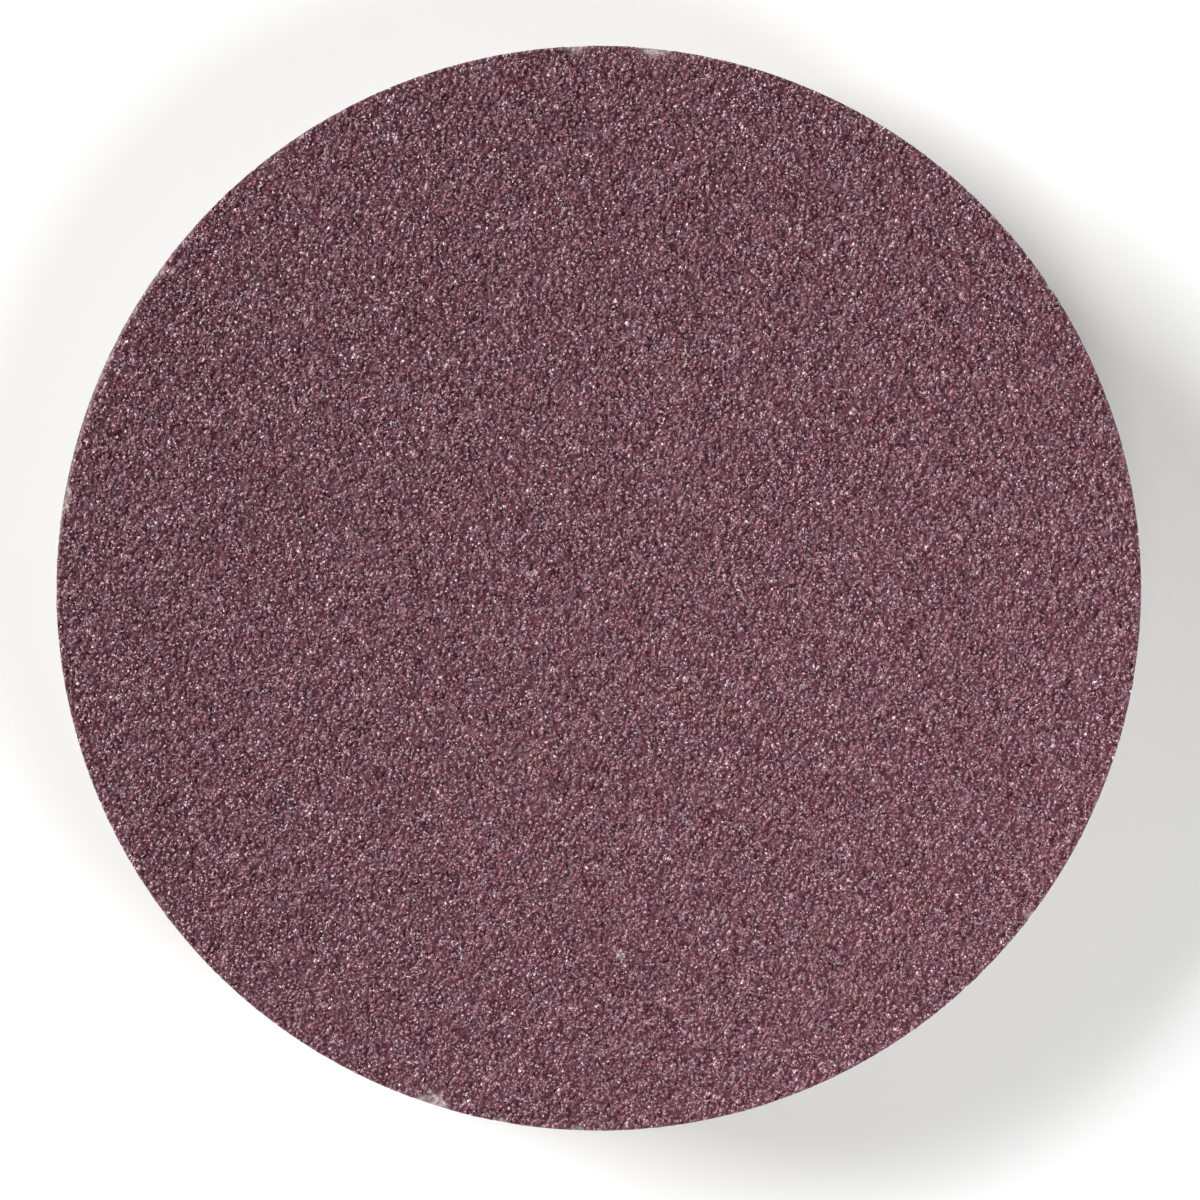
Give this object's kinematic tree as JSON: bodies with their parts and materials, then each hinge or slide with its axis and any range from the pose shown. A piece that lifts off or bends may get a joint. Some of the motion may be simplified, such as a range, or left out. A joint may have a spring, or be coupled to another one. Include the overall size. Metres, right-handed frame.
{
  "type": "quick-change sanding disc",
  "caption": "Small round sanding disc of coarse plum-brown grain on twill cloth, with a moulded button on its back whose stud has a coarse thread.",
  "frame": {"origin": "on the disc's axis, in the plane of the stud's flat tip", "axes": "+Z out of the grain face along the disc's axis, +Y the top of the picture"},
  "size_m": [0.0508, 0.0508, 0.0089],
  "materials": {
    "bonded_grain": "coarse grain in glossy resin",
    "backing_cloth": "resin-treated cotton twill",
    "moulded_nylon": "fine moulded satin"
  },
  "bodies": {
    "root": {"abrasive_coat": "bonded_grain", "cloth_backing": "backing_cloth", "fastening_button": "moulded_nylon"}
  },
  "joints": []
}
